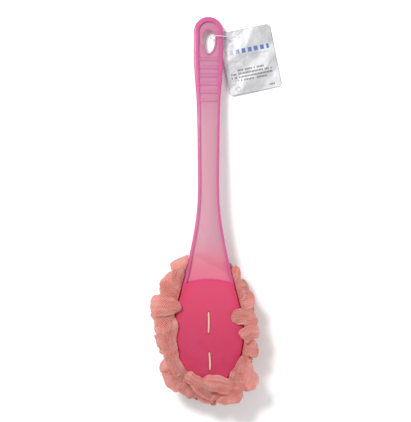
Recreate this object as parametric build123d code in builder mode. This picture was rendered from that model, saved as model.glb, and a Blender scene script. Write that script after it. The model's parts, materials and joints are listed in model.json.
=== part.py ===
"""A long-handled back scrubber: a translucent handle and paddle moulded in one piece, a puff of gathered
tubular netting tied to the paddle's skin side by two cords, and a swing tag on a clear ring.

Units are millimetres. It lies on its puff, as on a shelf: +Z is up, +Y points from the paddle to the hanging
hole, and the origin is the middle of the puff's flat underside. The back of the paddle faces up.
"""

from build123d import *

import os
from math import asin, cos, degrees, pi, radians, sin, sqrt

# ---- handle and paddle: plan view -----------------------------------------------------------------------
TIP_Y = 311.0  # end of the grip
TIP_RADIUS = 14.5  # the grip's end is a half circle
TIP_RIM = 4.6  # width of the raised rim round the end of the grip
PADDLE_HALF_WIDTH = 35.0
WIDEST_Y = -4.0  # where the paddle is widest
PADDLE_END_Y = -57.0
# y, half the width, width of the raised rim: down the grip, the waist and the flare
STATIONS = [
    (268.0, 14.5, 4.4),
    (236.0, 12.5, 3.5),
    (196.0, 11.1, 2.9),
    (156.0, 10.6, 2.7),
    (122.0, 11.2, 2.7),
    (93.0, 15.0, 2.9),
    (68.0, 20.0, 3.1),
    (46.0, 25.2, 3.3),
    (22.0, 31.4, 3.4),
]
PANEL_END_Y = 45.0  # the thin panel ends here at the rims ...
PANEL_END_RISE = 3.4  # ... in an arc that rises this much towards the grip
PANEL_ARC_HALFWAY = 0.77  # share of that rise which the arc has halfway between its middle and its end
PANEL_CORNER_OUT = 0.3  # the panel's corner lies this far outside the rim's inner edge
PANEL_CORNER_WAY = (0.4, -1)  # the panel's side runs this way at that corner
UNDER_PANEL_END_Y = 64.0  # the panel below the web ends sooner, before the paddle's plate

# ---- handle: section and side view ----------------------------------------------------------------------
RIM_HEIGHT = 8.0
WEB_THICKNESS = 3.0
PADDLE_THICKNESS = 4.6
RAMP = (24.0, 44.0)  # y range in which the underside changes from plate to rim
BEND_Y = 55.0  # the paddle is flat up to here, and the grip then bends down
NECK_RADIUS, NECK_DEG = 600.0, 5.0
GRIP_RADIUS = 2600.0
PAST_TIP_DEG = 1.0  # the side view runs on past the tip, and the plan's outline ends it
TIP_LIFT = 1.6  # the grip's end hangs a little above the table
EDGE_ROUND = 1.6  # outer edges of rim and paddle
FLAT_NORMAL = 0.9  # a face whose normal is at least this upright is the handle's back or underside
SEAM_WIDTH, SEAM_LENGTH = 1.0, 1.5  # an edge no wider in x, or no longer in y, is a seam and isn't rounded

# ---- hanging hole and grip ribs ---------------------------------------------------------------------------
HOLE_Y, HOLE_HALF_WIDTH = 288.5, 6.5
HOLE_UP, HOLE_DOWN = 9.6, 14.2  # the hole is egg-shaped: it reaches this far up and down from HOLE_Y
COLLAR_WIDTH, COLLAR_HEIGHT = 1.5, 1.6
RIB_FIRST_Y, RIB_PITCH, RIB_COUNT = 268.0, 8.2, 6
RIB_RADIUS, RIB_HEIGHT = 3.0, 1.1

# ---- tie cords: the two holes of each pair, and the cord that passes through them --------------------------
TIES = {"upper": ((0.0, 16.0), (0.0, -3.6)), "lower": ((0.8, -24.0), (1.5, -40.4))}
CORD_RADIUS = 0.9
TIE_HOLE_RADIUS = 1.3
CORD_BENDS = [5.0, 1.6, 1.6, 5.0]  # radii: round the netting, at the holes' edges, round the netting
LOOP_DEPTH = 9.0  # how far the cord's loop reaches below the plate, round the gathered netting
KNOT_RADIUS = 2.3
LOOP_OPENING = KNOT_RADIUS / 2  # between the loop's two ends, inside the knot
TAIL_LENGTH, TAIL_RADIUS = 7.0, 0.7
TAIL_WAY = (0.35, 0.9, -0.2)  # the first tail's direction, and the second is its opposite in x and y
CORD_GAP = 0.05  # between the stitch and the back of the paddle

# ---- puff --------------------------------------------------------------------------------------------------
PUFF_X, PUFF_Y = -2.5, -1.0  # centre of the puff's outline
PUFF_HALF = (54.5, 76.5)
PUFF_TOP = 45.0
BOTTOM_ROUND, TOP_ROUND = 17.0, 8.0
LAYER_Z = 25.0  # the skin side length of netting ends here, and the paddle side length begins
SPLIT_Y = -13.5  # between the two bundles, midway between the ties
POCKET_GAP = 0.4
NECK_POCKET_GAP, NECK_POCKET_Y = 1.5, 16.0  # a deeper pocket for the neck's rims, from this y on
POCKET_HALF_WIDTH = 4.0

# ---- tag ---------------------------------------------------------------------------------------------------
TAG_WIDTH, TAG_LENGTH, TAG_THICKNESS = 51.0, 63.0, 0.4
TAG_CORNER = 4.0
TAG_HOLE_RADIUS = 2.0
TAG_HOLE_IN = (5.4, 5.4)  # hole's centre from the tag's left and top edges
TAG_TURN = 11.5  # degrees, counter-clockwise seen from above
TAG_SLOPE = 2.2  # degrees: the ring lifts the tag's punched corner, and the far edge is on the table
TAG_HOLE_Z = 2.4
RING_RADIUS, WIRE_RADIUS = 8.4, 0.4
RING_Y = 290.0
LIGAMENT_X = (HOLE_HALF_WIDTH + TIP_RADIUS) / 2  # middle of the strip between the hole and the edge

FAR = 200.0  # larger than anything cut with it


def slope_at(y):
    """How steeply the handle's middle line falls at a place along it, in radians."""
    after_neck = BEND_Y + NECK_RADIUS * sin(radians(NECK_DEG))
    if y <= BEND_Y:
        return 0.0
    if y <= after_neck:
        return asin((y - BEND_Y) / NECK_RADIUS)
    return asin(sin(radians(NECK_DEG)) + (y - after_neck) / GRIP_RADIUS)


def drop_at(y):
    """How far the middle of the section has fallen below its height at the paddle."""
    slope = slope_at(y)
    neck = min(slope, radians(NECK_DEG))
    return NECK_RADIUS * (1 - cos(neck)) + GRIP_RADIUS * (cos(neck) - cos(slope))


MIDDLE_Z = RIM_HEIGHT / 2 + drop_at(TIP_Y) + TIP_LIFT  # middle of the section at the paddle
BACK_Z = MIDDLE_Z + RIM_HEIGHT / 2  # back of the paddle
PLATE_Z = BACK_Z - PADDLE_THICKNESS  # skin side of the paddle


def middle_z(y):
    """Height of the middle of the section at a place along the handle."""
    return MIDDLE_Z - drop_at(y)


def side_line(start_y, offset):
    """The section's middle line, seen from the side, moved up by offset. Adds its edges to the BuildLine and
    returns the first and the last."""
    z = MIDDLE_Z + offset
    grip_turn = degrees(slope_at(TIP_Y)) - NECK_DEG + PAST_TIP_DEG
    flat = Line((start_y, z), (BEND_Y, z))
    bend = JernArc(flat @ 1, (1, 0), NECK_RADIUS + offset, -NECK_DEG)
    return flat, JernArc(bend @ 1, bend % 1, GRIP_RADIUS + offset, -grip_turn)


def band(low, high, start_y):
    """A solid as wide as the workshop: what lies between two offsets of the handle's middle line."""
    with BuildPart() as made:
        with BuildSketch(Plane.YZ):
            with BuildLine():
                low_start, low_end = side_line(start_y, low)
                high_start, high_end = side_line(start_y, high)
                Line(low_start @ 0, high_start @ 0)
                Line(low_end @ 1, high_end @ 1)
            make_face()
        extrude(amount=FAR, both=True)
    return made.part


def handle_outline(margin=0.0):
    """The handle in plan: half circle, tapering grip, waist, flare and the paddle's half ellipse."""
    widest = PADDLE_HALF_WIDTH + margin
    with BuildSketch() as made:
        with BuildLine():
            end = CenterArc((0, TIP_Y - TIP_RADIUS), TIP_RADIUS + margin, 0, 90)
            side = Line(end @ 0, (STATIONS[0][1] + margin, STATIONS[0][0]))
            Spline(
                side @ 1,
                *[(half + margin, y) for y, half, _ in STATIONS[1:]],
                (widest, WIDEST_Y),
                tangents=((0, -1), (0, -1)),
            )
            paddle_end = WIDEST_Y - PADDLE_END_Y + margin
            EllipticalCenterArc((0, WIDEST_Y), widest, paddle_end, start_angle=-90, arc_size=90)
            mirror(about=Plane.YZ)
        make_face()
    return made.sketch


def panel_outline():
    """The thin panel between the rims, from the arc at the top of the paddle to the end of the grip."""
    inner = [(half - rim, y) for y, half, rim in STATIONS[:-1]]
    corner = (inner[-1][0] + PANEL_CORNER_OUT, PANEL_END_Y)
    halfway = (corner[0] / 2, PANEL_END_Y + PANEL_ARC_HALFWAY * PANEL_END_RISE)
    with BuildSketch() as made:
        with BuildLine():
            end = CenterArc((0, TIP_Y - TIP_RADIUS), TIP_RADIUS - TIP_RIM, 0, 90)
            Spline(end @ 0, *inner[:-1], corner, tangents=((0, -1), PANEL_CORNER_WAY))
            ThreePointArc((0, PANEL_END_Y + PANEL_END_RISE), halfway, corner)
            mirror(about=Plane.YZ)
        make_face()
    return made.sketch


def egg_outline(margin=0.0):
    """The hanging hole: two half ellipses of one width, the lower one longer."""
    with BuildSketch() as made:
        with BuildLine():
            half = HOLE_HALF_WIDTH + margin
            EllipticalCenterArc((0, HOLE_Y), half, HOLE_UP + margin, start_angle=0, arc_size=180)
            EllipticalCenterArc((0, HOLE_Y), half, HOLE_DOWN + margin, start_angle=180, arc_size=180)
        make_face()
    return made.sketch


def rib_places():
    return [RIB_FIRST_Y - RIB_PITCH * n for n in range(RIB_COUNT)]


def make_side_solid():
    """The handle's side view as a wide solid: plate at the paddle, then the deep rims, bending down."""
    with BuildPart() as made:
        with BuildSketch(Plane.YZ):
            with BuildLine():
                top_start, top_end = side_line(-FAR, RIM_HEIGHT / 2)
                low_start, low_end = side_line(RAMP[1], -RIM_HEIGHT / 2)
                plate = Line((-FAR, PLATE_Z), (RAMP[0], PLATE_Z))
                Spline(plate @ 1, low_start @ 0, tangents=((1, 0), (1, 0)))
                Line(top_start @ 0, plate @ 0)
                Line(top_end @ 1, low_end @ 1)
            make_face()
        extrude(amount=FAR, both=True)
    return made.part


def make_recess(low, high, end_y):
    """What is cut from one side of the web: the panel's outline, between two offsets of the middle line."""
    with BuildPart() as made:
        with BuildSketch():
            add(panel_outline())
            with Locations((0, end_y - FAR / 2)):
                Rectangle(FAR, FAR, mode=Mode.SUBTRACT)
        extrude(amount=FAR)
        add(band(low, high, -FAR), mode=Mode.INTERSECT)
    return made.part


def make_ribs():
    """Rounded bars across the panel: each is the top of a cylinder that is sunk in the web."""
    with BuildPart() as made:
        for y in rib_places():
            axis_z = middle_z(y) + WEB_THICKNESS / 2 + RIB_HEIGHT - RIB_RADIUS
            with Locations(Plane(origin=(0, y, axis_z), x_dir=(0, 1, 0), z_dir=(1, 0, 0))):
                Cylinder(RIB_RADIUS, 2 * TIP_RADIUS)
        with BuildSketch() as clip:
            add(panel_outline())
        extrude(clip.sketch, amount=FAR, mode=Mode.INTERSECT)
        add(band(0.0, RIM_HEIGHT / 2, 0.0), mode=Mode.INTERSECT)
    return made.part


def make_collar():
    """A low rounded lip round the hanging hole, on the web."""
    with BuildPart() as made:
        with BuildSketch():
            add(egg_outline(COLLAR_WIDTH))
        extrude(amount=FAR)
        add(band(0.0, WEB_THICKNESS / 2 + COLLAR_HEIGHT, 0.0), mode=Mode.INTERSECT)
    return made.part


def runs_round_outline(edge):
    """True for an edge along the outline, and false for a seam straight across or along the handle."""
    size = edge.bounding_box().size
    return size.X > SEAM_WIDTH and size.Y > SEAM_LENGTH


def make_handle():
    with BuildPart() as handle:
        with BuildSketch():
            add(handle_outline())
        extrude(amount=FAR, both=True)
        add(make_side_solid(), mode=Mode.INTERSECT)
        flat_faces = handle.faces().filter_by(lambda f: abs(f.normal_at().Z) > FLAT_NORMAL)
        fillet(flat_faces.edges().filter_by(runs_round_outline), EDGE_ROUND)
        add(make_recess(WEB_THICKNESS / 2, RIM_HEIGHT, -FAR), mode=Mode.SUBTRACT)
        add(make_recess(-RIM_HEIGHT, -WEB_THICKNESS / 2, UNDER_PANEL_END_Y), mode=Mode.SUBTRACT)
        add(make_ribs())
        add(make_collar())
        with BuildSketch():
            add(egg_outline())
            with Locations(*[place for pair in TIES.values() for place in pair]):
                Circle(TIE_HOLE_RADIUS)
        extrude(amount=FAR, mode=Mode.SUBTRACT)
    return handle.part


def make_pocket(floor_z, above_y=-FAR):
    """Room for the handle in the netting: its outline a little larger, above a floor, past a place in y."""
    with BuildPart() as made:
        with BuildSketch(Plane.XY.offset(floor_z)):
            add(handle_outline(POCKET_GAP))
            with Locations((0, above_y - FAR / 2)):
                Rectangle(FAR, FAR, mode=Mode.SUBTRACT)
        extrude(amount=FAR)
    return made.part


def make_tie_pocket(pair):
    """Room in the netting for one cord's loop and knot."""
    (x0, y0), (x1, y1) = pair
    with BuildPart() as made:
        with BuildSketch(Plane.XY.offset(PLATE_Z - LOOP_DEPTH - KNOT_RADIUS - CORD_RADIUS)):
            with Locations(((x0 + x1) / 2, (y0 + y1) / 2)):
                SlotOverall(y0 - y1 + 2 * POCKET_HALF_WIDTH, 2 * POCKET_HALF_WIDTH, rotation=90)
        extrude(amount=LOOP_DEPTH + 2 * KNOT_RADIUS)
    return made.part


def make_puff():
    """The whole puff: an oval pad, flat below, that wraps round the paddle's edge."""
    with BuildPart() as puff:
        with BuildSketch():
            with Locations((PUFF_X, PUFF_Y)):
                Ellipse(*PUFF_HALF)
        extrude(amount=PUFF_TOP)
        fillet(puff.edges().group_by(Axis.Z)[0], BOTTOM_ROUND)
        fillet(puff.edges().group_by(Axis.Z)[-1], TOP_ROUND)
        add(make_pocket(PLATE_Z - POCKET_GAP), mode=Mode.SUBTRACT)
        add(make_pocket(MIDDLE_Z - RIM_HEIGHT / 2 - NECK_POCKET_GAP, NECK_POCKET_Y), mode=Mode.SUBTRACT)
        for pair in TIES.values():
            add(make_tie_pocket(pair), mode=Mode.SUBTRACT)
    return puff.part


def length_of_netting(puff, bundle, layer):
    """One of the puff's four lengths of netting: the upper or lower bundle, on the skin or paddle side."""
    side_y = 1 if bundle == "upper" else -1
    side_z = 1 if layer == "paddle" else -1
    with BuildPart() as made:
        add(puff)
        with Locations((PUFF_X, SPLIT_Y + side_y * FAR / 2, LAYER_Z + side_z * FAR / 2)):
            Box(FAR, FAR, FAR, mode=Mode.INTERSECT)
    return made.part


def cord_route(pair):
    """A cord's route from its knot, up one hole, across the back of the paddle and down the other hole."""
    (x0, y0), (x1, y1) = pair
    half_span = sqrt((x0 - x1) ** 2 + (y0 - y1) ** 2) / 2
    along = Vector(x0 - x1, y0 - y1, 0).normalized()
    upright = Plane(
        origin=((x0 + x1) / 2, (y0 + y1) / 2, 0), x_dir=along, z_dir=Vector(along.Y, -along.X, 0)
    )
    top = BACK_Z + CORD_RADIUS + CORD_GAP
    bottom = PLATE_Z - LOOP_DEPTH
    with BuildLine(upright) as route:
        FilletPolyline(
            (LOOP_OPENING / 2, bottom),
            (half_span, bottom),
            (half_span, top),
            (-half_span, top),
            (-half_span, bottom),
            (-LOOP_OPENING / 2, bottom),
            radius=CORD_BENDS,
        )
    return route.wires()[0], Vector(upright.origin.X, upright.origin.Y, bottom)


def make_tie_cord(pair):
    """A cord's loop through its two holes, with its knot and two short tails below the netting's waist."""
    path, knot_place = cord_route(pair)
    with BuildPart() as cord:
        with BuildSketch(Plane(origin=path @ 0, z_dir=path % 0)):
            Circle(CORD_RADIUS)
        sweep(path=path)
        share = cord.part.volume / (pi * CORD_RADIUS**2 * path.length)
        print(f"cord: {path.length:.1f} mm long, volume {share:.3f} of its section times its length")
        with Locations(knot_place):
            Sphere(KNOT_RADIUS)
        for side in (-1, 1):
            way = (side * TAIL_WAY[0], side * TAIL_WAY[1], TAIL_WAY[2])
            with Locations(Plane(origin=knot_place, z_dir=way)):
                Cylinder(TAIL_RADIUS, TAIL_LENGTH, align=(Align.CENTER, Align.CENTER, Align.MIN))
    return cord.part


def tag_plane():
    """The tag's own plane: x along its top edge, y up its left edge, origin at its punched hole."""
    reach = sqrt(RING_RADIUS**2 - (middle_z(RING_Y) - TAG_HOLE_Z) ** 2)
    hole = Plane(origin=(LIGAMENT_X + reach, RING_Y, TAG_HOLE_Z))
    return hole.rotated((0, TAG_SLOPE, TAG_TURN))


def make_tag():
    with BuildPart() as tag:
        with BuildSketch(tag_plane()):
            with Locations((TAG_WIDTH / 2 - TAG_HOLE_IN[0], TAG_HOLE_IN[1] - TAG_LENGTH / 2)):
                RectangleRounded(TAG_WIDTH, TAG_LENGTH, TAG_CORNER)
            Circle(TAG_HOLE_RADIUS, mode=Mode.SUBTRACT)
        extrude(amount=TAG_THICKNESS / 2, both=True)
    return tag.part


def make_ring():
    """The tag's clear ring, square to the strip between the hanging hole and the grip's edge."""
    slope = slope_at(RING_Y)
    strip = Plane(origin=(LIGAMENT_X, RING_Y, middle_z(RING_Y)), z_dir=(0, cos(slope), -sin(slope)))
    with BuildPart() as ring:
        with Locations(strip):
            Torus(RING_RADIUS, WIRE_RADIUS)
    return ring.part


def save(name, part):
    part.label = name
    export_step(part, f"parts/{name}.step")
    box = part.bounding_box()
    print(f"{name}: {len(part.solids())} solid(s), z from {box.min.Z:.2f} to {box.max.Z:.2f} mm")


def main():
    os.makedirs("parts", exist_ok=True)
    print(f"paddle back at z {BACK_Z:.2f}, its skin side at z {PLATE_Z:.2f}")
    save("handle", make_handle())
    puff = make_puff()
    for bundle in ("upper", "lower"):
        for layer in ("skin", "paddle"):
            save(f"{bundle}_{layer}_side_netting", length_of_netting(puff, bundle, layer))
        save(f"{bundle}_tie_cord", make_tie_cord(TIES[bundle]))
    save("tag_ring", make_ring())
    save("swing_tag", make_tag())


main()
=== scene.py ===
# %% [markdown]
# # A netting back scrubber
# The scrubber lies on its puff, and we look straight down on the back of its paddle. The moulded handle
# keeps the shape of the CAD frame. Everything soft is made here: four gathers of netting, two twisted
# cords, and a foil card. Lengths are in millimetres until a mesh is filled.

import json
from math import cos, pi, radians, sin, sqrt

import bpy
import numpy as np
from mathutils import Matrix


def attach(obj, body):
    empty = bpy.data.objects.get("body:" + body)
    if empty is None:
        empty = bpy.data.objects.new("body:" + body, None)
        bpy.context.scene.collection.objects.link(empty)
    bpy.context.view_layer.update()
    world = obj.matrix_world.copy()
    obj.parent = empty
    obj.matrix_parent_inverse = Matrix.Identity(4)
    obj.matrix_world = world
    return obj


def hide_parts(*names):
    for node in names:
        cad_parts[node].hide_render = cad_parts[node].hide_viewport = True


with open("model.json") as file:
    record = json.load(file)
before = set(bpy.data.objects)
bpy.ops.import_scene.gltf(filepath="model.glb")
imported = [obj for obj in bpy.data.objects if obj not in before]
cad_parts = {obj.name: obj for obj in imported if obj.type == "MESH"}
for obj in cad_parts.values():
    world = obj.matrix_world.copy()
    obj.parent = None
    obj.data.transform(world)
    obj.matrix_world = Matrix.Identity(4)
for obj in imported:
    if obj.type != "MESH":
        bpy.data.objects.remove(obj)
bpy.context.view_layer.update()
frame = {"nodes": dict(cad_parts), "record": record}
MM = 0.001

# %% [markdown]
# The camera is a long lens high above the object, so that the far end of the handle isn't foreshortened.
# The light is a big soft box up on the left, a weaker one on the right, and an even grey-white sky.

# %% Camera and lights
LENS, SENSOR = 200.0, 36.0
VIEW_CENTRE = (-3.0, 116.6, 25.0)
VIEW_HEIGHT = 419.5
MIDDLE = (0.0, 0.11, 0.02)  # the point that the lamps are turned to, in metres
LAMPS = [
    # name, place in metres, size in metres, watts
    ("key_light", (-0.62, 0.86, 1.5), 0.45, 29.0),
    ("fill_light", (1.2, -0.3, 1.0), 1.2, 7.0),
]
SKY_STRENGTH = 0.56


def add_camera():
    """A camera straight above a point, at the distance where the view is as tall as asked."""
    data = bpy.data.cameras.new("camera")
    data.lens, data.sensor_width = LENS, SENSOR
    camera = bpy.data.objects.new("camera", data)
    distance = VIEW_HEIGHT * LENS / SENSOR
    camera.location = [v * MM for v in (VIEW_CENTRE[0], VIEW_CENTRE[1], VIEW_CENTRE[2] + distance)]
    bpy.context.collection.objects.link(camera)
    bpy.context.scene.camera = camera
    return distance


def add_lamp(name, place, size, watts):
    """A square soft box, tipped by the angle between straight up and the line from the middle to the lamp,
    and then turned by that line's direction on the floor."""
    data = bpy.data.lights.new(name, "AREA")
    data.shape, data.size, data.energy = "SQUARE", size, watts
    lamp = bpy.data.objects.new(name, data)
    across, along, up = np.array(place) - np.array(MIDDLE)
    tip, turn = np.arctan2(np.hypot(across, along), up), np.arctan2(along, across)
    lamp.location = place
    lamp.rotation_euler = (0.0, float(tip), float(turn))
    bpy.context.collection.objects.link(lamp)


def set_sky(strength):
    world = bpy.data.worlds.new("sky")
    bpy.context.scene.world = world
    world.use_nodes = True
    background = world.node_tree.nodes["Background"]
    background.inputs["Color"].default_value = (1.0, 1.0, 1.0, 1.0)
    background.inputs["Strength"].default_value = strength


print("camera distance, mm:", round(add_camera()))
for lamp in LAMPS:
    add_lamp(*lamp)
set_sky(SKY_STRENGTH)
bpy.context.scene.view_settings.view_transform = "Standard"

# %% [markdown]
# Materials are written as sums. `Value` wraps the output of one shader node, and adding or multiplying two
# of them adds the Math node that does it. `Finish` holds one material, and its `node` method adds any other
# node: first the node's own settings, then the values or links of its sockets.

# %% Shader maths
class Value:
    """One output of a shader node. Sums of values add Math nodes."""

    def __init__(self, socket):
        self.socket = socket

    def math(self, operation, *others, swap=False):
        tree = self.socket.id_data
        node = tree.nodes.new("ShaderNodeMath")
        node.operation = operation
        for place, term in enumerate((*others, self) if swap else (self, *others)):
            if isinstance(term, Value):
                tree.links.new(term.socket, node.inputs[place])
            else:
                node.inputs[place].default_value = term
        return Value(node.outputs[0])

    def __add__(self, other):
        return self.math("ADD", other)

    def __sub__(self, other):
        return self.math("SUBTRACT", other)

    def __rsub__(self, other):
        return self.math("SUBTRACT", other, swap=True)

    def __mul__(self, other):
        return self.math("MULTIPLY", other)

    def __truediv__(self, other):
        return self.math("DIVIDE", other)

    def __abs__(self):
        return self.math("ABSOLUTE")

    __radd__, __rmul__ = __add__, __mul__

    def step(self, low, high):
        """0 below low, 1 above high, and smooth between them. With high below low it falls instead."""
        tree = self.socket.id_data
        node = tree.nodes.new("ShaderNodeMapRange")
        node.interpolation_type = "SMOOTHSTEP"
        tree.links.new(self.socket, node.inputs["Value"])
        rising = low < high
        node.inputs["From Min"].default_value = min(low, high)
        node.inputs["From Max"].default_value = max(low, high)
        node.inputs["To Min"].default_value = 0.0 if rising else 1.0
        node.inputs["To Max"].default_value = 1.0 if rising else 0.0
        return Value(node.outputs["Result"])


class Finish:
    """A material in the making."""

    def __init__(self, name):
        self.material = bpy.data.materials.new(name)
        self.material.use_nodes = True
        self.tree = self.material.node_tree
        self.tree.nodes.clear()

    def node(self, kind, settings=None, inputs=None, output=0):
        """A node of any kind: its settings first, then the values or links of its sockets."""
        made = self.tree.nodes.new("ShaderNode" + kind)
        for name, setting in (settings or {}).items():
            if name == "stops":
                while len(made.color_ramp.elements) < len(setting):
                    made.color_ramp.elements.new(0.5)
                for element, (place, colour) in zip(made.color_ramp.elements, setting):
                    element.position, element.color = place, (*colour, 1.0)
            else:
                setattr(made, name, setting)
        for name, term in (inputs or {}).items():
            socket = made.inputs[name]
            if isinstance(term, Value):
                self.tree.links.new(term.socket, socket)
            else:
                socket.default_value = (*term, 1.0) if socket.type == "RGBA" and len(term) == 3 else term
        return Value(made.outputs[output])

    def noise(self, where, size, detail=3.0):
        """Soft noise from 0 to 1, whose lumps are about so many metres across."""
        return self.node("TexNoise", None, {"Vector": where, "Scale": 1.0 / size, "Detail": detail})

    def mix(self, share, first, second):
        """A colour between two others."""
        return self.node("Mix", {"data_type": "RGBA"}, {0: share, 6: first, 7: second}, output=2)

    def place(self):
        """Object coordinates, in metres."""
        return self.node("TexCoord", None, None, output="Object")

    def stored(self, name):
        """A number that the mesh holds for each of its points."""
        return self.node("Attribute", {"attribute_name": name}, None, output="Fac")

    def split(self, vector):
        """The three numbers of a vector."""
        first = self.node("SeparateXYZ", None, {0: vector})
        return [Value(socket) for socket in first.socket.node.outputs]

    def bump(self, height, distance, strength):
        """A normal tipped by the slope of a height from 0 to 1, which stands for a distance in metres."""
        return self.node("Bump", None, {"Height": height, "Distance": distance, "Strength": strength})

    def surface(self, shader):
        """Ends the material with a shader."""
        out = self.tree.nodes.new("ShaderNodeOutputMaterial")
        self.tree.links.new(shader.socket, out.inputs["Surface"])
        return self.material


def linear(red, green, blue):
    """A colour given in the 0 to 255 of a paint program, as the linear shares that shaders take: a straight
    line near black, and a power above it."""
    shares = np.array([red, green, blue]) / 255.0
    curved = ((shares + 0.055) / 1.055) ** 2.4
    return tuple(float(v) for v in np.where(shares < 0.04045, shares / 12.92, curved))


print("shader helpers ready")

# %% [markdown]
# Every soft piece is a tube of some kind: a ring of points carried along a path. `Tubes` gathers many such
# tubes into one mesh. Each tube's ends are closed by a fan to the middle of its end ring, and each corner of
# a face gets a UV in millimetres, so a woven pattern keeps its size however the tube bends.

# %% Meshes from grids of points
def fill_mesh(name, points, faces, uvs, stored=None):
    """Points (n, 3) in mm, faces as an index array whose rows end in -1 where a face is a triangle, one UV
    for each corner in the order of the faces, and named numbers, one for each point."""
    mesh = bpy.data.meshes.new(name)
    corners = faces[faces >= 0]
    counts = (faces >= 0).sum(axis=1)
    mesh.vertices.add(len(points))
    mesh.vertices.foreach_set("co", (np.asarray(points) * MM).ravel())
    mesh.loops.add(len(corners))
    mesh.loops.foreach_set("vertex_index", corners.astype(np.int32))
    mesh.polygons.add(len(faces))
    mesh.polygons.foreach_set("loop_start", np.concatenate([[0], np.cumsum(counts)[:-1]]).astype(np.int32))
    mesh.update(calc_edges=True)
    mesh.uv_layers.new(name="flat").data.foreach_set("uv", (np.asarray(uvs) * MM).ravel())
    for key, values in (stored or {}).items():
        mesh.attributes.new(key, "FLOAT", "POINT").data.foreach_set("value", np.asarray(values, np.float32))
    mesh.shade_smooth()
    mesh.validate()
    made = bpy.data.objects.new(name, mesh)
    bpy.context.collection.objects.link(made)
    return made


class Tubes:
    """Collects tubes, each a grid of rings, and makes one mesh of them."""

    def __init__(self):
        self.points, self.faces, self.uvs, self.tones, self.count = [], [], [], [], 0

    def add(self, rings, tones=None):
        """rings is (rows, columns, 3): closed rings, one after another, wound so that the faces point out.
        tones is one number for each point. u runs round the tube and v along it."""
        rows, columns, _ = rings.shape
        tones = np.zeros((rows, columns)) if tones is None else tones
        i, j = np.meshgrid(np.arange(rows - 1), np.arange(columns), indexing="ij")
        at = lambda row, column: row * columns + column % columns
        quads = np.stack([at(i, j), at(i, j + 1), at(i + 1, j + 1), at(i + 1, j)], axis=-1).reshape(-1, 4)
        girth = np.linalg.norm(rings - np.roll(rings, 1, axis=1), axis=2).sum(axis=1)
        u = np.arange(columns + 1) / columns * np.percentile(girth, 70)
        v = np.concatenate([[0.0], np.cumsum(np.linalg.norm(np.diff(rings.mean(axis=1), axis=0), axis=1))])
        quad_uv = np.stack([u[j], v[i], u[j + 1], v[i], u[j + 1], v[i + 1], u[j], v[i + 1]], axis=-1)
        j, none = np.arange(columns), np.full(columns, -1)
        first, last = np.full(columns, rows * columns), np.full(columns, rows * columns + 1)
        start = np.stack([first, at(0, j + 1), at(0, j), none], axis=-1)
        end = np.stack([last, at(rows - 1, j), at(rows - 1, j + 1), none], axis=-1)
        middle, low, high = (u[j] + u[j + 1]) / 2, np.full(columns, v[0]), np.full(columns, v[-1])
        start_uv = np.stack([middle, low, u[j + 1], low, u[j], low], axis=-1)
        end_uv = np.stack([middle, high, u[j], high, u[j + 1], high], axis=-1)
        self.points += [rings.reshape(-1, 3), rings[[0, -1]].mean(axis=1)]
        self.tones += [tones.ravel(), tones[[0, -1]].mean(axis=1)]
        faces = np.concatenate([quads, start, end])
        self.faces.append(np.where(faces < 0, -1, faces + self.count))
        self.uvs += [quad_uv.reshape(-1, 2), start_uv.reshape(-1, 2), end_uv.reshape(-1, 2)]
        self.count += rows * columns + 2

    def mesh(self, name):
        arrays = [np.concatenate(parts) for parts in (self.points, self.faces, self.uvs, self.tones)]
        made = fill_mesh(name, *arrays[:3], stored={"tone": arrays[3]})
        print(f"{name}: {len(made.data.vertices)} points, {len(made.data.polygons)} faces")
        return made


def unit(vectors):
    return vectors / np.maximum(np.linalg.norm(vectors, axis=-1, keepdims=True), 1e-9)


def crumple(points, size, seed):
    """Smooth random vectors, of length about 1, at points in space: for each axis, the mean of twelve waves
    in random directions, with wavelengths near size."""
    rng = np.random.default_rng(seed)
    waves = unit(rng.normal(size=(3, 12, 3))) * (2 * pi / size) * rng.uniform(0.7, 1.4, (3, 12, 1))
    phases = rng.uniform(0, 2 * pi, (3, 12))
    angles = np.einsum("...k,awk->...aw", points, waves) + phases
    return np.sin(angles).mean(axis=-1) * sqrt(12.0)


def even_points(route, count):
    """A number of points spread evenly along a polyline."""
    lengths = np.concatenate([[0.0], np.cumsum(np.linalg.norm(np.diff(route, axis=0), axis=1))])
    even = np.linspace(0, lengths[-1], count)
    return np.stack([np.interp(even, lengths, column) for column in route.T], axis=-1)


def ease_up(values, least, soft=0.8):
    """The values, eased so that none is under least."""
    return least + np.logaddexp(0.0, (values - least) / soft) * soft


def ramp(values, low, high):
    """0 below low, 1 above high and a smooth rise between."""
    share = np.clip((values - low) / (high - low), 0, 1)
    return share * share * (3 - 2 * share)


print("mesh helpers ready")

# %% [markdown]
# The netting has to go round the paddle and under the neck, so we first measure the handle. Thin slices
# across it give how wide it is at each place along it, and where its back and its skin side are.

# %% What the frame says
SLICE_STEP, SLICE_HALF, FIRST_SLICE, PAST_SLICES = 2.0, 2.6, -56.0, 312.0
NO_WIDTH = -9.0  # where there is no handle
handle = frame["nodes"]["handle"]
shell = np.empty(len(handle.data.vertices) * 3, dtype=np.float32)
handle.data.vertices.foreach_get("co", shell)
shell = shell.reshape(-1, 3) / MM
PADDLE_END = float(shell[:, 1].min())
starts = np.arange(FIRST_SLICE, PAST_SLICES, SLICE_STEP)
slices = [shell[np.abs(shell[:, 1] - y) < SLICE_HALF] for y in starts]
slices = [part for part in slices if len(part) > 3]
widest = np.array([part[np.abs(part[:, 0]).argmax()] for part in slices])
WIDTH_Y, order = np.unique(widest[:, 1], return_index=True)
HALF_WIDTHS = np.abs(widest[order, 0])
ALONG = np.array([part[:, 1].mean() for part in slices])
UNDERS = np.array([part[:, 2].min() for part in slices])
BACKS = np.array([part[:, 2].max() for part in slices])


def half_width(y):
    """Half the handle's width at a place along it, and less than nothing past the paddle's end."""
    return np.where(y < PADDLE_END - 1.0, NO_WIDTH, np.interp(y, WIDTH_Y, HALF_WIDTHS))


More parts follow.
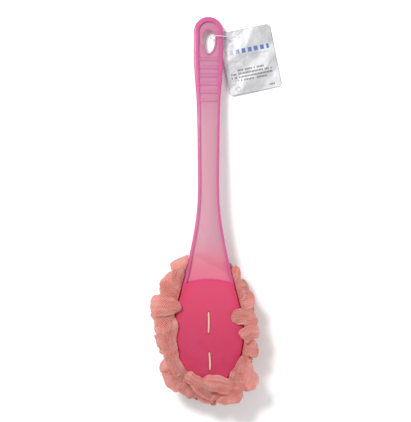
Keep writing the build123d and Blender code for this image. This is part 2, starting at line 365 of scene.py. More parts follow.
print(f"{len(slices)} slices, widest half {HALF_WIDTHS.max():.1f}, paddle end y {PADDLE_END:.1f}")

# %% [markdown]
# A length of tubular net, wound to and fro and tied at its middle, gives a bundle of loops. Each loop's end
# opens into a soft double fold: narrow and pleated where it is gathered, wide and rounded at its tip. So one
# fold is a flat ring carried along a bent path, and its width follows a curve that closes at both ends.
# Waves in space then crumple all folds together, as if they had been pressed in one bag.

# %% One fold of netting
FINE_GRID, PLAIN_GRID = (46, 64), (32, 46)  # rings along a fold, and points round a ring
BROAD, MIDDLING, FINE = 30.0, 13.0, 5.5  # wavelengths of the crumpling
# the tone of a plain fold, and the painted highlight added along its edges
FLAT_TONE, EDGE_HIGHLIGHT = 0.45, 0.42


def fold(path, widths, height=3.0, pleats=4, depth=0.55, cup=0.0, roll=0.0, wave=1.0, blunt=0.3, inner=0.25,
         seed=1, rough=1.0, crest_shade=0.13, grid=FINE_GRID):
    """Rings of one fold, and the tone of each point, which is painted light and shade. The spine is the
    quadratic curve through three points, and the width is the quadratic through three widths, times
    superellipses that close the inner end over a share inner of the way, and the outer end over blunt. A ring
    is a flattened tube: across is cos(phi) and the lift is a root of sin(phi). Pleats are cosine ridges of
    both plies, deepest at the inner end.
    The sides cup up by across squared, and the outer end waves by a sine of across. The whole fold rolls
    about its spine by an angle in degrees. The tone paints highlights on pleat crests, on points that the
    crumpling lifts and on the edges, and shade in the troughs and on points that it lowers; crest_shade sets
    how strong the pleats' share is."""
    rng = np.random.default_rng(seed)
    rows, columns = grid
    s = (1 - np.cos(np.linspace(0.01, 0.99, rows) * pi)) / 2
    t = s[:, None]
    start, through, end = (np.array(p, float) for p in path)
    bend = 2 * through - (start + end) / 2
    spine = (1 - t) ** 2 * start + 2 * t * (1 - t) * bend + t**2 * end
    tangent = unit(2 * (1 - t) * (bend - start) + 2 * t * (end - bend))
    side = unit(np.cross(tangent, [0.0, 0.0, 1.0]))
    up = np.cross(side, tangent)
    turn = radians(roll) * (0.4 + 0.6 * s)[:, None]
    side, up = side * np.cos(turn) + up * np.sin(turn), up * np.cos(turn) - side * np.sin(turn)
    near_end, far_end = np.clip(s / inner, 0, 1), np.clip((1 - s) / blunt, 0, 1)
    ends = (1 - (1 - near_end) ** 2.5) ** (1 / 2.5) * (1 - (1 - far_end) ** 2.4) ** (1 / 2.4)
    width = widths[0] * (1 - s) * (1 - 2 * s) + widths[1] * 4 * s * (1 - s) + widths[2] * s * (2 * s - 1)
    phi = np.arange(columns) / columns * 2 * pi
    across, lift = np.cos(phi), np.sign(np.sin(phi)) * np.abs(np.sin(phi)) ** 0.7
    drift = 0.9 * np.sin(s[:, None] * 4.0 + rng.uniform(0, 6))
    ridge = np.cos(pleats * pi * across + drift + rng.uniform(0, 6))
    ridge = ridge + 0.5 * np.cos(1.7 * pleats * pi * across - drift + rng.uniform(0, 6))
    fade = ((0.3 + 0.7 * np.exp(-s / 0.45)) * ends)[:, None]
    raise_by = height / 2 * np.sqrt(ends)[:, None] * lift + depth * fade * ridge
    raise_by = raise_by + cup * (across**2 - 0.4) * ends[:, None]
    ripple = np.sin(rng.uniform(1.1, 1.8) * pi * across + rng.uniform(0, 6))
    raise_by = raise_by + wave * (s**2)[:, None] * ripple
    rings = spine[:, None] + side[:, None] * (width / 2 * ends)[:, None, None] * across[None, :, None]
    rings = rings + up[:, None] * raise_by[..., None]
    shift = rng.uniform(0, 45, 3)
    broad, middling = crumple(rings + shift, BROAD, 5), crumple(rings + shift, MIDDLING, 6)
    fine = crumple(rings, FINE, 7)
    rings = rings + (broad * [1.6, 1.6, 1.5] + middling * [0.85, 0.85, 0.6] + fine * 0.2) * rough
    edge = np.abs(across) ** 14 * np.ones_like(ridge) + ramp(s, 0.95, 1.0)[:, None]
    # painted light and shade: pleat crests and points lifted by the crumpling are paler, troughs and lowered
    # points darker, and the edges get a painted highlight
    tones = FLAT_TONE + crest_shade * ridge * fade + 0.09 * middling[..., 2] + 0.05 * fine[..., 2] + EDGE_HIGHLIGHT * edge
    return rings, np.clip(tones, 0, 1)


# tone shifts near the handle: painted light on netting over it, painted shade on netting under or beside it
HANDLE_LIGHT_AND_SHADE = {"over": 0.08, "under": -0.12, "beside": -0.12}


def keep_clear(rings, tones, way):
    """Lifts what would sink into the floor, and keeps the netting over, under or beside the handle. Over and
    under move z past the back or the skin side, and beside moves x out to the edge. Near the handle, netting
    that lies over it gets a higher tone, a painted highlight, and netting under or beside it a lower one,
    painted shade."""
    x, y, z = rings[..., 0], rings[..., 1], rings[..., 2]
    gap = np.abs(x) - half_width(y)
    tones = tones + HANDLE_LIGHT_AND_SHADE[way] * ramp(gap, 7.0, 0.0)
    if way == "beside":
        x = np.sign(x) * (half_width(y) + ease_up(gap, 0.5, 0.5))
    else:
        over = ease_up(z, np.interp(y, ALONG, BACKS) + 0.4, 0.5)
        under = -ease_up(-z, -np.interp(y, ALONG, UNDERS) + 0.6, 0.5)
        z = z + ((over if way == "over" else under) - z) * ramp(gap, 2.2, 0.4)
    return np.stack([x, y, ease_up(z, 0.3, 0.6)], axis=-1), np.clip(tones, 0, 1)


nets = {(bundle, layer): Tubes() for bundle in ("upper", "lower") for layer in ("skin", "paddle")}
SPLIT = -13.5  # y between the upper bundle and the lower one


def add_fold(at_y, layer, made, way):
    """Adds a fold, kept clear of the handle, to the net of its bundle and layer."""
    nets["upper" if at_y > SPLIT else "lower", layer].add(*keep_clear(*made, way))


print("a fold has", np.prod(FINE_GRID), "points in the frill and", np.prod(PLAIN_GRID), "in the tiers")

# %% [markdown]
# The puff is a few tiers of such folds. A tier's tips follow the oval of the puff, drawn in a little at the
# floor and pressed in at two dents, and their inner ends point back to the nearer of the two ties. A fixed
# seed makes each fold a bit different.

# %% The tiers under and beside the paddle
PUFF_CENTRE = np.array([-2.5, 0.5])
PUFF_HALF = np.array([50.5, 71.5])
DENTS = [(7.0, np.array([-52.0, -22.0])), (-5.0, np.array([50.0, 18.0]))]  # push along x, and where
DENT_WIDE = 17.0
TIES = np.array([[0.0, 6.2], [1.2, -32.2]])
TIERS = [
    # height of the tips, reach as a share of the oval, folds, height of the inner end, layer, width
    (5.5, 0.80, 20, 12.0, "skin", 26),
    (11.0, 0.92, 24, 15.0, "skin", 24),
    (17.5, 0.98, 26, 18.0, "skin", 23),
    (24.0, 1.0, 26, 22.0, "skin", 23),
    (29.5, 1.0, 24, 25.0, "paddle", 24),
    (34.0, 0.96, 22, 28.0, "paddle", 20),
]


def add_tier(z_tip, reach, count, z_root, layer, width, seed):
    """One ring of folds. Tip n is at angle 2 pi (n + jitter + a share of the seed) / count on the oval, and
    a dent moves it by push times exp(-(its distance / the dent's width) squared)."""
    rng = np.random.default_rng(seed)
    angles = (np.arange(count) + rng.uniform(-0.25, 0.25, count) + seed * 0.37) * 2 * pi / count
    for n, angle in enumerate(angles):
        tip = PUFF_CENTRE + PUFF_HALF * reach * rng.uniform(0.92, 1.0) * [cos(angle), sin(angle)]
        tip[0] += sum(push * np.exp(-np.sum((tip - at) ** 2) / DENT_WIDE**2) for push, at in DENTS)
        tie = TIES[0 if tip[1] > SPLIT else 1]
        root = tie + (tip - tie) * rng.uniform(0.2, 0.4)
        through = (root + tip) / 2 + rng.normal(0, 2.5, 2)
        z = np.array([z_root, (z_root + z_tip) / 2 + rng.uniform(0, 2), z_tip]) + rng.normal(0, 1.5, 3)
        wide = width * rng.uniform(0.8, 1.2)
        made = fold(
            [(*root, z[0]), (*through, z[1]), (*tip, z[2])],
            (wide * 0.5, wide, wide * rng.uniform(0.75, 1.0)),
            height=rng.uniform(3, 5),
            pleats=rng.integers(3, 7),
            depth=1.0,
            cup=rng.uniform(-3.0, 3.0),
            roll=rng.uniform(-50, 50),
            wave=rng.uniform(1.5, 4.0),
            seed=seed * 100 + n,
            grid=PLAIN_GRID,
        )
        add_fold(tip[1], layer, made, "under")


for seed, tier in enumerate(TIERS, start=1):
    add_tier(*tier, seed)
print(sum(tier[2] for tier in TIERS), "folds in", len(TIERS), "tiers")

# %% [markdown]
# All round the paddle's edge the netting is drawn up into a pleated roll, which closes the gap between the
# tiers and the frill. It is a tube along the paddle's outline, whose radius is pleated by waves along it.

# %% The roll round the paddle's edge
ROLL_OUT, ROLL_Z, ROLL_HALF, ROLL_TOP = 4.2, 33.4, (4.6, 6.2), 52.0
ROLL_FADE, ROLL_PLEAT, PLEAT_PITCHES = 14.0, 0.13, (4.3, 2.9)
ROLL_ROWS, ROLL_COLUMNS = 420, 40
WIDEST_Y, WIDEST_HALF = -4.0, 35.0


def roll_route():
    """Points round the paddle, from the neck's left side down, round the end and up its right side: out from
    the measured edge, and then half an ellipse."""
    y = np.linspace(ROLL_TOP, WIDEST_Y, 40)
    left = np.stack([-(half_width(y) + ROLL_OUT), y], axis=-1)
    turn = np.linspace(pi, 2 * pi, 60)[1:-1]
    across, along = WIDEST_HALF + ROLL_OUT, WIDEST_Y - PADDLE_END + ROLL_OUT
    end = np.stack([across * np.cos(turn), WIDEST_Y + along * np.sin(turn)], axis=-1)
    return even_points(np.concatenate([left, end, left[::-1] * [-1, 1]]), ROLL_ROWS)


def roll_part(route, seed):
    """One length of the roll. A ring is an ellipse times 1 + waves along the path, which drift with the
    angle, and the roll swells from nothing at its top ends."""
    rng = np.random.default_rng(seed)
    tangent = unit(np.gradient(np.pad(route, ((0, 0), (0, 1))), axis=0))
    side, up = np.cross(tangent, [0.0, 0.0, 1.0]), np.array([0.0, 0.0, 1.0])
    s = np.arange(len(route)) * np.linalg.norm(route[1] - route[0])
    phi = np.arange(ROLL_COLUMNS) / ROLL_COLUMNS * 2 * pi
    drift = s[:, None] + 1.6 * np.sin(phi) + rng.uniform(0, 9)
    wide, narrow = (drift * 2 * pi / pitch for pitch in PLEAT_PITCHES)
    pleat = 0.6 * np.sin(wide) + 0.4 * np.sin(narrow + 2.0 * np.cos(phi))
    swell = (1 + ROLL_PLEAT * pleat) * ramp(ROLL_TOP - route[:, 1:], 0.0, ROLL_FADE) ** 0.5
    centre = np.concatenate([route, np.full((len(route), 1), ROLL_Z)], axis=-1)
    rings = centre[:, None] + side[:, None] * (ROLL_HALF[0] * swell * np.cos(phi))[..., None]
    rings = rings + up * (ROLL_HALF[1] * swell * np.sin(phi))[..., None]
    rings = rings + crumple(rings, 17.0, seed) * [1.2, 1.2, 1.6]
    # the tone is painted light and shade: paler where the pleats swell out, darker where they fold in
    return rings, np.clip(0.35 + 0.25 * pleat, 0, 1)


route = roll_route()
below = route[:, 1] < SPLIT + 1.0
first, last = int(np.argmax(below)), len(route) - int(np.argmax(below[::-1]))
for seed, part in enumerate((route[: first + 4], route[first:last], route[last - 4 :]), start=51):
    add_fold(part[:, 1].mean(), "paddle", roll_part(part, seed), "beside")
print("the roll is", round(np.linalg.norm(np.diff(route, axis=0), axis=1).sum()), "mm long")

# %% [markdown]
# The frill round the paddle is what one sees first, so its folds are given one by one: big soft ones on the
# left, fans of pleats at the right, and two long folds that lie across the paddle's end.

# %% The frill's folds
TUBE = dict(height=6.5, pleats=2, depth=0.4, wave=0.5)
LONG = dict(height=5, pleats=3)
PLEATED = dict(pleats=6, depth=0.8)
# crest_shade sets how strong the painted shade and highlight across the pleats are
FAN = dict(pleats=7, depth=0.8, crest_shade=0.2)
FLAT_FAN = dict(pleats=7, depth=0.6, crest_shade=0.3, wave=0)
FRILL = [
    # where a fold starts, passes and ends (x, y, z), its three widths, its way, and what differs from plain
    (((-6, 44, 24), (-8, 62, 26), (-10, 75, 28)), (20, 26, 20), "under", {}),
    (((9, 42, 25), (9, 52, 26), (9, 60, 28)), (18, 24, 16), "under", {}),
    (((-20, 42, 33), (-23, 57, 35), (-26, 73, 35)), (18, 26, 19), "beside", dict(roll=6)),
    (((-24, 34, 36), (-32, 45, 38), (-38, 55, 36)), (24, 30, 23), "beside", dict(cup=1)),
    (((-29, 30, 38), (-37, 37, 40), (-48, 41, 38)), (14, 17, 12), "beside", dict(roll=6)),
    (((-29, 20, 41), (-43, 23, 43), (-56, 24, 40)), (9, 19, 16), "over", dict(blunt=0.08)),
    (((-31, 16, 39), (-38, 13, 41), (-46, 12, 38)), (12, 15, 12), "beside", {}),
    (((-33, 11, 38), (-43, 10, 40), (-53, 9, 38)), (12, 19, 17), "over", {}),
    (((-42, 12, 40), (-40, -8, 42), (-36, -27, 40)), (18, 21, 12), "over", dict(cup=1)),
    (((-38, -8, 38), (-45, -14, 39), (-50, -17, 37)), (18, 24, 20), "beside", {}),
    (((-38, -18, 40), (-33, -36, 41), (-21, -50, 41)), (10, 14, 10), "over", {}),
    (((-28, -24, 36), (-36, -36, 39), (-41, -46, 37)), (18, 22, 17), "beside", PLEATED),
    (((-22, -34, 36), (-32, -48, 39), (-39, -58, 36)), (20, 28, 20), "beside", PLEATED),
    (((-12, -44, 34), (-18, -58, 37), (-22, -68, 35)), (20, 24, 18), "under", {}),
    (((0, -46, 34), (-2, -62, 37), (-3, -73, 35)), (20, 26, 18), "under", {}),
    (((14, -44, 34), (18, -60, 37), (24, -73, 34)), (22, 28, 18), "under", {}),
    (((32, -26, 40), (35, -42, 41), (30, -60, 37)), (8, 26, 28), "over", FAN),
    (((31, -16, 38), (41, -20, 40), (50, -21, 38)), (8, 15, 13), "beside", {}),
    (((32, -10, 42), (42, -5, 43), (51, -4, 41)), (13, 16, 15), "over", TUBE),
    (((23, 11, 40), (34, 12, 41), (46, 13, 40)), (10, 19, 20), "over", FLAT_FAN),
    (((30, 7, 39), (38, 4, 41), (47, 2, 39)), (12, 15, 12), "beside", {}),
    (((29, 24, 38), (37, 29, 40), (46, 31, 39)), (14, 18, 14), "beside", {}),
    (((24, 33, 36), (30, 37, 38), (37, 39, 38)), (14, 16, 14), "beside", {}),
    (((20, 38, 34), (23, 49, 36), (27, 60, 36)), (14, 15, 12), "beside", {}),
    (((-23, -45, 43), (-12, -54, 44), (3, -68, 38)), (10, 15, 12), "over", LONG),
    (((-9, -52, 43), (14, -55, 45), (38, -63, 39)), (12, 17, 8), "over", LONG),
    (((34, -62, 38), (22, -69, 40), (10, -74, 38)), (8, 11, 9), "over", TUBE),
    (((31, -8, 39), (38, -9, 41), (45, -10, 39)), (14, 15, 12), "beside", {}),
]
for n, (path, widths, way, special) in enumerate(FRILL):
    made = fold(path, widths, seed=900 + n, rough=0.8, **special)
    add_fold(path[1][1], "paddle", made, way)
print(len(FRILL), "folds in the frill")

# %% [markdown]
# The net itself is very fine thread knitted into small diamonds. Two crossing sets of waves on the UV map
# draw the thread, which is a bit paler than the gaps and stands up a little. The stored tone is painted light
# and shade: painted highlights on crests and folded edges, which stand for more thread seen at once there,
# and painted shade in troughs and near the handle. Thin cloth also lets light through, so just over half of
# it is a translucent shader, and the gaps are partly clear.

# %% Netting finish
NET_CELL, THREAD_SLANT, THREAD_WANDER = 0.0014, 0.62, 0.0012
NET_GLOW, NET_GLOW_SHARE = linear(234, 160, 150), 0.55
# the colour ramp for the tone: its low end is painted crease shade and its high end painted highlight
NET_STOPS = [(0.0, linear(228, 119, 112)), (0.45, linear(235, 172, 161)), (1.0, linear(249, 220, 211))]


def netting_finish():
    finish = Finish("salmon_netting")
    uv = finish.node("UVMap", {"uv_map": "flat"})
    wander = finish.node("TexNoise", None, {"Vector": uv, "Scale": 150.0, "Detail": 1.0}, output="Color")
    wander = finish.node("VectorMath", {"operation": "SCALE"}, {0: wander, "Scale": THREAD_WANDER})
    u, v, _ = finish.split(finish.node("VectorMath", {"operation": "ADD"}, {0: uv, 1: wander}))
    turn = 2 * pi / NET_CELL
    first = (u * turn + v * (turn * THREAD_SLANT)).math("SINE")
    second = (u * turn - v * (turn * THREAD_SLANT)).math("SINE")
    thread = first.math("MAXIMUM", second).step(0.3, 0.95)
    place = finish.place()
    patches = finish.noise(place, 0.011, detail=4.0)
    grain = finish.noise(place, 0.0013, detail=2.0)
    # the stored painted light and shade, with random patches, grain and the thread on top
    tone = finish.stored("tone") + (patches - 0.5) * 0.5 + (grain - 0.5) * 0.8 + (thread - 0.5) * 0.25
    colour = finish.node("ValToRGB", {"stops": NET_STOPS}, {0: tone})
    normal = finish.bump(thread + grain * 0.8, 0.0004, 0.5)
    cloth = finish.node("BsdfPrincipled", None, {
        "Base Color": colour,
        "Roughness": 0.6,
        "Sheen Weight": 0.3,
        "Sheen Roughness": 0.5,
        "Specular IOR Level": 0.2,
        "Normal": normal,
    })
    glow = finish.node("BsdfTranslucent", None, {"Color": NET_GLOW, "Normal": normal})
    net = finish.node("MixShader", None, {0: NET_GLOW_SHARE, 1: cloth, 2: glow})
    clear = finish.node("BsdfTransparent")
    return finish.surface(finish.node("MixShader", None, {0: thread * 0.35 + 0.6, 1: clear, 2: net}))


netting = netting_finish()
for (bundle, layer), tubes in nets.items():
    piece = tubes.mesh(f"{bundle}_{layer}_side_net")
    piece.data.materials.append(netting)
    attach(piece, "scrubber")
    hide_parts(f"{bundle}_{layer}_side_netting")

# %% [markdown]
# The handle is one moulding in pink plastic, part milky and part clear. Its CAD shape is right, so we copy
# the mesh as it is, with its normals. Each point of the copy stores how far it rises from the middle of the
# moulding, so the finish knows the deep rims from the thin panel.

# %% Handle
def copy_of(source, name):
    mesh = source.data.copy()
    mesh.name = name
    made = bpy.data.objects.new(name, mesh)
    bpy.context.collection.objects.link(made)
    return made


PANEL_RISE, RIM_RISE = 1.8, 3.4
pink_handle = copy_of(handle, "pink_handle")
rise = np.abs(shell[:, 2] - np.interp(shell[:, 1], ALONG, (UNDERS + BACKS) / 2))
rim = ramp(rise, PANEL_RISE, RIM_RISE).astype(np.float32)
pink_handle.data.attributes.new("rim", "FLOAT", "POINT").data.foreach_set("value", rim)
print(f"pink_handle: {len(shell)} points, {rim.mean():.2f} of them on rims")

# %% [markdown]
# Thick pink plastic looks stronger in colour than thin, so the rims, the ledge where the paddle begins and
# the paddle are deep pink, and the panel is pale. The paddle begins at an arc, which is a parabola across the
# handle, and has a deeper edge. Netting behind the neck shows faintly through it. The milky share of the
# plastic is a plain shader and the clear share a rough glass.

# %% Handle finish
ARC_Y, ARC_BEND = 0.0482, 7.0  # metres, and metres of y for each square metre of x
EYE_Y, EYE_SQUASH = 0.286, 2.6  # the hanging hole's middle, and how much narrower than tall it is, squared
CLEAR_SHARE, PADDLE_MILKIER = 0.42, 0.17


def handle_finish():
    finish = Finish("translucent_pink_plastic")
    place = finish.place()
    x, y, _ = finish.split(place)
    rim = finish.stored("rim")
    cloud = finish.noise(place, 0.010, detail=4.0)
    fine = finish.noise(place, 0.0012, detail=2.0)
    past_arc = y + x * x * ARC_BEND - ARC_Y
    paddle = past_arc.step(0.0013, -0.0007)
    ledge = abs(past_arc).step(0.0022, 0.0004)
    neck = y.step(0.094, 0.046)
    panel = finish.mix(neck, linear(207, 155, 171), linear(238, 116, 146))
    panel = finish.mix(y.step(0.19, 0.25), panel, linear(205, 136, 167))
    behind = (y + x * 0.55 + cloud * 0.006).step(0.0695, 0.0665)
    panel = finish.mix(behind * 0.3, panel, linear(252, 158, 178))
    plate = finish.mix(y.step(0.045, -0.045), linear(216, 66, 99), linear(193, 45, 82))
    plate = finish.mix((cloud - 0.3) * 0.9, plate, linear(193, 72, 116))
    past = y + 0.004  # from where the paddle is widest, and it narrows faster towards its end
    edge = abs(x) + past * past * (4.2 + past.step(0.001, -0.001) * 2.8)
    plate = finish.mix(edge.step(0.025, 0.036) * 0.75, plate, linear(208, 34, 80))
    panel = finish.mix((fine + cloud - 1.0) * 0.5, panel, linear(240, 150, 185))
    colour = finish.mix(paddle, panel, plate)
    from_eye = (x * x * EYE_SQUASH + (y - EYE_Y) * (y - EYE_Y)).math("SQRT").step(0.0165, 0.0135)
    ribs = abs(x).step(0.0095, 0.0085) * y.step(0.2, 0.205) * y.step(0.278, 0.274)
    rim = rim * (1.0 - from_eye.math("MAXIMUM", ribs) * 0.65)
    colour = finish.mix(rim * (0.85 - paddle * 0.75), colour, linear(216, 87, 150))
    colour = finish.mix(ledge * 0.8, colour, linear(228, 50, 125))
    normal = finish.bump(fine + cloud * 0.8, 0.0003, 0.25)
    milky = finish.node("BsdfPrincipled", None, {
        "Base Color": colour,
        "Roughness": 0.4 + 0.12 * fine,
        "IOR": 1.49,
        "Specular IOR Level": 0.3,
        "Normal": normal,
    })
    clear = finish.node("BsdfPrincipled", None, {
        "Base Color": colour,
        "Roughness": 0.14 + 0.1 * fine,
        "IOR": 1.49,
        "Transmission Weight": 1.0,
        "Normal": normal,
    })
    share = CLEAR_SHARE - paddle * PADDLE_MILKIER
    return finish.surface(finish.node("MixShader", None, {0: share, 1: milky, 2: clear}))


pink_handle.data.materials.clear()
pink_handle.data.materials.append(handle_finish())
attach(pink_handle, "scrubber")
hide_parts("handle")

# %% [markdown]
# Each cord goes up one hole, across the back and down the other, and is knotted under the gathered net. It
# is laid from three strands: circles that wind round the loop's path. The holes it fills look dark.

# %% Tie cords
CORD_RADIUS, STRAND_RADIUS, LAY_PITCH = 0.9, 0.47, 4.6
LOOP_LOW, LOOP_HIGH = 24.25, 38.8
LOW_BEND, HOLE_BEND, STITCH_BOW = 5.0, 1.6, 0.35
KNOT_SIZE, TAIL_LENGTH, TAIL_RADIUS = 0.62, 7.0, 0.6
CORD_ENDS = {"upper": ((0.0, 16.0), (0.0, -3.6)), "lower": ((0.8, -24.0), (1.5, -40.4))}


def loop_path(half_span):
    """Points evenly along a rounded box, from the knot round and back: four quarter circles, big at the low
    corners and small at the holes, joined by straight lines. Columns are along the stitch and up."""
    turns = np.linspace(0, pi / 2, 10)
    corners = []
    for quarter, (way, low) in enumerate(((1, True), (1, False), (-1, False), (-1, True))):
        radius = LOW_BEND if low else HOLE_BEND
        angle = turns + (quarter - 1) * pi / 2
        centre = np.array([way * (half_span - radius), LOOP_LOW + radius if low else LOOP_HIGH - radius])
        corners.append(centre + radius * np.stack([np.cos(angle), np.sin(angle)], axis=-1))
    return even_points(np.concatenate([[[0.0, LOOP_LOW]], *corners, [[0.0, LOOP_LOW]]]), 360)


def sweep_ring(centres, first, second, radius, columns=14):
    """Rings of a round tube: centre + radius (cos first + sin second)."""
    phi = np.arange(columns) / columns * 2 * pi
    spokes = np.cos(phi)[:, None] * first[:, None] + np.sin(phi)[:, None] * second[:, None]
    return centres[:, None] + np.asarray(radius).reshape(-1, 1, 1) * spokes


def tube_along(path, radius):
    """A round tube along any path, with its rings square to it."""
    tangent = unit(np.gradient(path, axis=0))
    helper = np.array([0.31, 0.22, 0.92])
    first = unit(np.cross(tangent, helper))
    return sweep_ring(path, first, np.cross(tangent, first), radius)


def make_cord(bundle):
    """Three strands round the loop, a knot shaped as a small trefoil, and two tails. A trefoil is
    (sin t + 2 sin 2t, cos t - 2 cos 2t, -sin 3t)."""
    (x0, y0), (x1, y1) = CORD_ENDS[bundle]
    start, end = np.array([x0, y0, 0.0]), np.array([x1, y1, 0.0])
    span = np.linalg.norm(start - end)
    along, up = (start - end) / span, np.array([0.0, 0.0, 1.0])
    across = np.cross(along, up)
    flat = loop_path(span / 2)
    even = np.concatenate([[0.0], np.cumsum(np.linalg.norm(np.diff(flat, axis=0), axis=1))])
    centre = (start + end) / 2
    bow = STITCH_BOW * np.cos(flat[:, 0] / span * pi) * (flat[:, 1] > LOOP_HIGH - 1.0)
    path = centre + flat[:, :1] * along + flat[:, 1:] * up + bow[:, None] * across
    tangent = unit(np.gradient(path, axis=0))
    outward = np.cross(tangent, across)
    cord = Tubes()
    for strand in range(3):
        wind = even / LAY_PITCH * 2 * pi + strand * 2 * pi / 3
        offset = np.cos(wind)[:, None] * outward + np.sin(wind)[:, None] * across
        strand_path = path + offset * (CORD_RADIUS - STRAND_RADIUS)
        cord.add(sweep_ring(strand_path, across + outward * 0, outward, STRAND_RADIUS))
    knot = centre + LOOP_LOW * up
    t = np.linspace(0, 2 * pi, 120)[:, None]
    trefoil = (np.sin(t) + 2 * np.sin(2 * t)) * along + (np.cos(t) - 2 * np.cos(2 * t)) * across
    trefoil = knot + KNOT_SIZE * (trefoil - np.sin(3 * t) * up)
    cord.add(tube_along(trefoil, CORD_RADIUS * 0.8))
    for way in (-1, 1):
        tail = unit(along * 0.9 * way + across * 0.35 * way - up * 0.2)
        cord.add(tube_along(knot + np.linspace(0, TAIL_LENGTH, 30)[:, None] * tail, TAIL_RADIUS))
    made = cord.mesh(f"{bundle}_stitch_cord")
    made.data.materials.append(cord_finish())
    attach(made, "scrubber")
    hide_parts(f"{bundle}_tie_cord")


def cord_finish():
    finish = Finish("cream_cord")
    place = finish.place()
    fibres = finish.noise(place, 0.0004, detail=2.0)
    worn = finish.noise(place, 0.004, detail=2.0)
    colour = finish.mix(fibres * 0.5 + worn * 0.5, linear(178, 150, 116), linear(232, 216, 184))
    normal = finish.bump(fibres, 0.0002, 0.6)
    return finish.surface(finish.node("BsdfPrincipled", None, {
        "Base Color": colour,
        "Roughness": 0.75,
        "Sheen Weight": 0.3,
        "Specular IOR Level": 0.25,
        "Normal": normal,
    }))


for bundle in CORD_ENDS:
    make_cord(bundle)

# %% [markdown]
# The tag hangs on a loop of clear filament. The loop is the CAD ring with a finish of its own.

# %% Filament ring
def filament_finish():
    finish = Finish("clear_filament")
    scuffs = finish.noise(finish.place(), 0.0006)
    return finish.surface(finish.node("BsdfPrincipled", None, {
        "Base Color": linear(245, 245, 248),
        "Roughness": 0.05 + 0.15 * scuffs,
        "IOR": 1.52,
        "Transmission Weight": 0.6,
        "Normal": finish.bump(scuffs, 0.0001, 0.3),
    }))


ring = frame["nodes"]["tag_ring"]
filament = filament_finish()
if not ring.material_slots:
    ring.data.materials.append(filament)
for slot in ring.material_slots:
    slot.material = filament
print("tag_ring:", len(ring.material_slots), "slot of", filament.name)

# %% [markdown]
# The swing tag is a stiff foil card with round corners and a punched hole. Its grid runs from the hole out
# to the edge, over the edge, and back under to the hole, so it is one closed skin. The card's own
# measures, from its top left corner, go into the UV map, for the print to be drawn with.

# %% Foil card
CARD_WIDTH, CARD_HEIGHT, CARD_THICK, CARD_CORNER = 53.2, 64.0, 0.4, 3.4
HOLE_INSET, HOLE_RADIUS, CARD_TURN = 5.4, 2.0, radians(11.5)
BOW_ACROSS, BOW_ALONG, FLAT_WITHIN, BENT_PAST = 0.55, 0.35, 5.0, 18.0
CARD_COLUMNS, CARD_ROWS = 230, 40


def card_outline():
    """Points round a rectangle with round corners, anticlockwise as seen from its face. A corner is a
    quarter circle about a point a radius in from both its sides."""
    middle = np.array([CARD_WIDTH, CARD_HEIGHT]) / 2
    quarter = np.linspace(0, pi / 2, 9)
    arcs = []
    for turn, ends in enumerate(((1, -1), (-1, -1), (-1, 1), (1, 1))):
        angle = -(quarter + turn * pi / 2)
        centre = middle + np.array(ends) * (middle - CARD_CORNER)
        arcs.append(centre + CARD_CORNER * np.stack([np.cos(angle), np.sin(angle)], axis=-1))
    route = np.concatenate([*arcs, arcs[0][:1]])
    return even_points(route, CARD_COLUMNS + 1)[:-1]


def make_card():
    """The card in space: hole centre + its right, down and normal axes times the card's own coordinates. It
    bows up by a sine across its width and a squared sine down its height, and lies flat round its hole."""
    joint = next(j for j in frame["record"]["behaviour"]["joints"] if j["name"] == "tag_swivel")
    hole, normal = np.array(joint["pos_m"]) / MM, unit(np.array(joint["axis"], float))
    right = np.array([cos(CARD_TURN), sin(CARD_TURN), 0.0])
    right = unit(right - right.dot(normal) * normal)
    down = np.cross(right, normal)
    outline = card_outline()
    centre = np.array([HOLE_INSET, HOLE_INSET])
    start = centre + HOLE_RADIUS * unit(outline - centre)
    share = np.linspace(0, 1, CARD_ROWS)[:, None, None]
    sheet = start + (outline - start) * share
    across, along = sheet[..., 0] / CARD_WIDTH, sheet[..., 1] / CARD_HEIGHT
    free = ramp(np.linalg.norm(sheet - centre, axis=-1), FLAT_WITHIN, BENT_PAST)
    bow = free * (BOW_ACROSS * np.sin(pi * across) + BOW_ALONG * np.sin(1.7 * pi * along + 0.4) ** 2)
    place = hole + (sheet[..., :1] - HOLE_INSET) * right + (sheet[..., 1:] - HOLE_INSET) * down
    place = place + bow[..., None] * normal
    plies = np.concatenate([place + normal * CARD_THICK / 2, place[::-1] - normal * CARD_THICK / 2])
    flat = np.concatenate([sheet, sheet[::-1]]).reshape(-1, 2)
    front = np.repeat([1.0, 0.0], CARD_ROWS * CARD_COLUMNS)
    i, j = np.meshgrid(np.arange(2 * CARD_ROWS), np.arange(CARD_COLUMNS), indexing="ij")
    at = lambda row, column: row % (2 * CARD_ROWS) * CARD_COLUMNS + column % CARD_COLUMNS
    faces = np.stack([at(i, j), at(i + 1, j), at(i + 1, j + 1), at(i, j + 1)], axis=-1).reshape(-1, 4)
    card = fill_mesh("foil_card", plies.reshape(-1, 3), faces, flat[faces].reshape(-1, 2), {"front": front})
    card.data.set_sharp_from_angle(angle=radians(40))
    print(f"foil_card: {len(plies.reshape(-1, 3))} points, lowest z {plies[..., 2].min():.2f}")
    return card


card = make_card()

# %% [markdown]
# The foil reflects the soft lights, so it needs slow changes in tone and small dents to look like foil. Part
# of the change in tone is a painted reflection: a slow diagonal band of paler foil. Any wording is left out,
# and plain
# shapes stand in for it: a row of blocks for a heading, a thin line, five rows of short dashes and a ring. A
# row is cut into cells, and a cell of a row of dashes holds a dash unless chance leaves a gap. Distances on
# the card are in millimetres from its top left corner.

# %% Foil finish
HEADING_ROW, HEADING_TALL, HEADING_PITCH = 21.3, 4.6, 6.3
DASH_ROWS = [
    # where down the card, where it starts and where it ends
    (40.0, 12.0, 39.4),
    (43.5, 5.0, 46.4),
    (46.9, 3.2, 46.9),
    (50.2, 11.0, 40.0),
    (59.7, 41.0, 47.0),
]
DASH_TALL, DASH_PITCH = 1.9, 1.5
EMBLEM_X, EMBLEM_Y, EMBLEM_RADII = 9.6, 58.8, (1.6, 3.0)
PAINTED_GLINT_PITCH, EDGE_WIDE = 34.0, 0.5


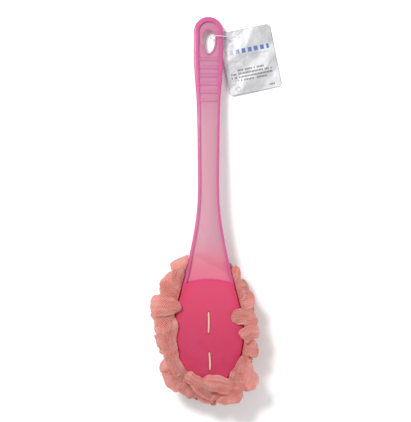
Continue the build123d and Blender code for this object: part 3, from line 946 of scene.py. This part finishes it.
def foil_finish():
    finish = Finish("silver_foil_card")
    u, v, _ = finish.split(finish.node("UVMap", {"uv_map": "flat"}))
    x, y = u / MM, v / MM
    place = finish.place()

    def band(value, low, high, soft=0.25):
        """1 between low and high, and 0 outside."""
        return abs(value - (low + high) / 2).step((high - low) / 2 + soft, (high - low) / 2 - soft)

    def bars(pitch, fill, salt):
        """Upright bars that fill a share of each cell, and a number by chance for each cell."""
        cell, within = (x / pitch).math("FLOOR"), (x / pitch).math("FRACT")
        chance = finish.node("TexWhiteNoise", {"noise_dimensions": "1D"}, {"W": cell + salt})
        return band(within, 0.5 - fill / 2, 0.5 + fill / 2, 0.08), chance

    bar, _ = bars(HEADING_PITCH, 0.62, 0.0)
    heading_row = band(y, HEADING_ROW - HEADING_TALL / 2, HEADING_ROW + HEADING_TALL / 2)
    heading = bar * band(x, 3.6, 48.0) * heading_row * (x.step(12.0, 20.0) * 0.6 + 0.4)
    dashes = band(x, 28.5, 47.5) * band(y, 25.9, 26.9) * 0.3
    for salt, (row, left, end) in enumerate(DASH_ROWS):
        bar, chance = bars(DASH_PITCH, 0.74, salt * 31.0)
        line = band(y, row - DASH_TALL / 2, row + DASH_TALL / 2) * band(x, left, end)
        dashes = dashes + line * bar * chance.step(0.1, 0.14)
    from_emblem = ((x - EMBLEM_X) * (x - EMBLEM_X) + (y - EMBLEM_Y) * (y - EMBLEM_Y)).math("SQRT")
    emblem = band(from_emblem, *EMBLEM_RADII)
    front = finish.stored("front")
    slow = finish.noise(place, 0.02, detail=1.0)
    # a painted reflection: a slow diagonal band of paler foil, mixed below with slow random changes in tone
    painted_glint = ((x * 0.8 + y + slow * 26.0) * (2 * pi / PAINTED_GLINT_PITCH)).math("SINE").step(-0.1, 0.9)
    foil = finish.mix(painted_glint * 0.6 + slow * 0.35, linear(182, 182, 186), linear(240, 240, 242))
    colour = finish.mix(emblem * 0.35 * front, foil, linear(120, 120, 124))
    colour = finish.mix(heading * front, colour, linear(82, 106, 160))
    colour = finish.mix(dashes * front * 0.85, colour, linear(62, 62, 66))
    inside = band(x, EDGE_WIDE, CARD_WIDTH - EDGE_WIDE) * band(y, EDGE_WIDE, CARD_HEIGHT - EDGE_WIDE)
    colour = finish.mix((1.0 - inside) * 0.6, colour, linear(120, 120, 126))
    dents = finish.noise(place, 0.006, detail=3.0)
    return finish.surface(finish.node("BsdfPrincipled", None, {
        "Base Color": colour,
        "Metallic": 0.6 - (heading + dashes) * 0.5 * front,
        "Roughness": 0.24 + 0.2 * dents,
        "Normal": finish.bump(dents + slow, 0.0012, 0.35),
    }))


card.data.materials.append(foil_finish())
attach(card, "tag")
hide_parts("swing_tag")
print("foil_card:", 1 + len(DASH_ROWS), "rows of print")

# %% [markdown]
# The floor is one big pale square that isn't part of the object. It is nearly white and quite rough, so that
# it shows a soft shadow and no reflections.

# %% Floor
def floor_finish():
    finish = Finish("pale_floor")
    grain = finish.noise(finish.place(), 0.004)
    colour = finish.mix(grain, linear(250, 250, 250), linear(255, 255, 255))
    return finish.surface(finish.node("BsdfPrincipled", None, {"Base Color": colour, "Roughness": 0.9}))


FLOOR_HALF = 3000.0
corners = np.array([[-1, -1, 0], [1, -1, 0], [1, 1, 0], [-1, 1, 0]]) * [FLOOR_HALF, FLOOR_HALF, 0.0]
floor = fill_mesh("floor", corners, np.array([[0, 1, 2, 3]]), corners[:, :2])
floor.data.materials.append(floor_finish())
print("floor:", round(2 * FLOOR_HALF), "mm square")
